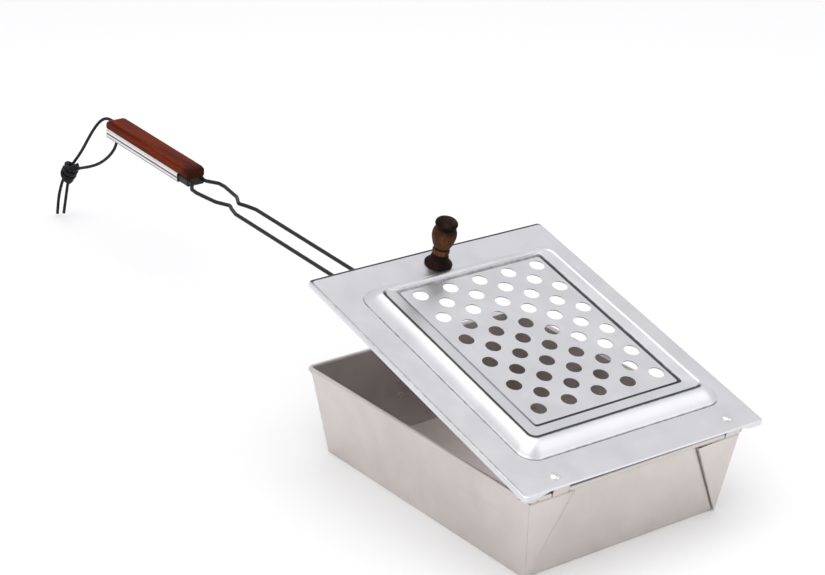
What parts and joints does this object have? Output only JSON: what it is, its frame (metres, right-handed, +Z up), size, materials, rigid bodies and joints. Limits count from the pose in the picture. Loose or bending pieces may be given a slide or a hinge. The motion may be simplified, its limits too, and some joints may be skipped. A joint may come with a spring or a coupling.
{
  "type": "fireplace popcorn popper",
  "caption": "Rectangular sheet-steel popcorn pan with a hinged perforated lid, a turned knob, a long twin-wire handle with a wood grip and a tied lace loop.",
  "frame": {"origin": "centre of the pan's flat bottom face", "axes": "+Z up, +Y from the pan towards the handle, +X to the right seen from the hinge end"},
  "size_m": [0.2521, 0.9203, 0.2008],
  "materials": {
    "pan_steel": "satin plated sheet",
    "lid_steel": "satin plated sheet",
    "wire_steel": "drawn wire",
    "fastener_steel": "plated",
    "bright_steel": "bright plated",
    "black_steel": "semi-gloss black",
    "black_wire": "semi-gloss black",
    "grip_wood": "lacquered reddish hardwood",
    "knob_wood": "burnt and lacquered",
    "black_lace": "waxed round lace"
  },
  "bodies": {
    "pan": {"pan_body": "pan_steel", "rim_wire": "wire_steel", "handle_wire_left": "black_wire", "handle_wire_right": "black_wire", "handle_bracket": "pan_steel", "bracket_rivets": "fastener_steel", "grip_wood": "grip_wood", "grip_channel": "bright_steel", "grip_ferrule": "black_steel", "grip_screws": "fastener_steel", "lanyard_core": "black_lace", "lanyard_upper": "black_lace", "lanyard_lower": "black_lace", "lanyard_knot": "black_lace"},
    "lid": {"lid_panel": "lid_steel", "hinge_strap_left": "lid_steel", "hinge_strap_right": "lid_steel", "hinge_rivets": "fastener_steel", "lid_knob": "knob_wood", "knob_washer": "fastener_steel", "knob_screw": "fastener_steel"}
  },
  "joints": [
    {"name": "lid_hinge", "type": "hinge", "parent": "pan", "child": "lid", "pos_m": [0, -0.1477, 0.0767], "axis": [1, 0, 0], "range_deg": [-15.4, 104]}
  ]
}
